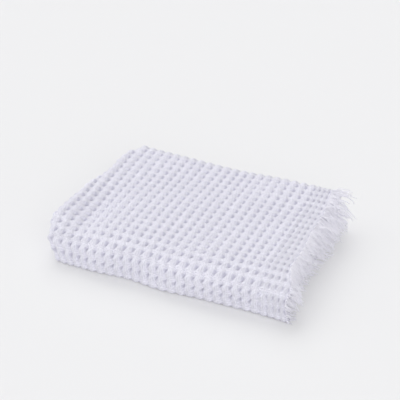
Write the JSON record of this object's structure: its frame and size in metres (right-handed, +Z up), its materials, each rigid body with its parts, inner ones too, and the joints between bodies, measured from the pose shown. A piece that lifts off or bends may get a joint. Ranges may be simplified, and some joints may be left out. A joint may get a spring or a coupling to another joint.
{
  "type": "folded throw blanket",
  "caption": "Folded waffle-weave cotton throw with fringed ends; the last fold opens like a book about the front crease.",
  "frame": {"origin": "middle of the underside of the folded stack, fringe included", "axes": "+X along the folded length towards the fringed ends, +Y from the last fold at the front towards the back, +Z up through the stack"},
  "size_m": [0.4462, 0.315, 0.0652],
  "materials": {
    "waffle_cloth": "matte waffle-weave cotton, white with a faint cool tint",
    "hem_stitch": "matte twisted cotton binding",
    "fringe_yarn": "matte loose cotton yarn ends"
  },
  "bodies": {
    "lower_half": {"panel_lower_middle": "waffle_cloth", "panel_bottom": "waffle_cloth", "fold_front_inner": "waffle_cloth", "fold_front_outer": "waffle_cloth", "hem_a_lower_middle": "hem_stitch", "hem_b_lower_middle": "hem_stitch", "hem_a_bottom": "hem_stitch", "hem_b_bottom": "hem_stitch", "hem_a_front_inner": "hem_stitch", "hem_b_front_inner": "hem_stitch", "hem_a_front_outer": "hem_stitch", "hem_b_front_outer": "hem_stitch", "fringe_a_lower_middle": "fringe_yarn", "fringe_b_lower_middle": "fringe_yarn", "fringe_a_bottom": "fringe_yarn", "fringe_b_bottom": "fringe_yarn", "fringe_a_front_inner": "fringe_yarn", "fringe_b_front_inner": "fringe_yarn", "fringe_a_front_outer": "fringe_yarn", "fringe_b_front_outer": "fringe_yarn"},
    "upper_half": {"panel_top": "waffle_cloth", "panel_upper_middle": "waffle_cloth", "fold_back": "waffle_cloth", "hem_a_top": "hem_stitch", "hem_b_top": "hem_stitch", "hem_a_upper_middle": "hem_stitch", "hem_b_upper_middle": "hem_stitch", "hem_a_back": "hem_stitch", "hem_b_back": "hem_stitch", "fringe_a_top": "fringe_yarn", "fringe_b_top": "fringe_yarn", "fringe_a_upper_middle": "fringe_yarn", "fringe_b_upper_middle": "fringe_yarn", "fringe_a_back": "fringe_yarn", "fringe_b_back": "fringe_yarn"}
  },
  "joints": [
    {"name": "last_fold", "type": "hinge", "parent": "lower_half", "child": "upper_half", "pos_m": [0, -0.1249, 0.0326], "axis": [1, 0, 0], "range_deg": [0, 179.9], "deforming": ["fold_front_inner", "fold_front_outer", "hem_a_front_inner", "hem_b_front_inner", "hem_a_front_outer", "hem_b_front_outer", "fringe_a_front_inner", "fringe_b_front_inner", "fringe_a_front_outer", "fringe_b_front_outer"]}
  ]
}
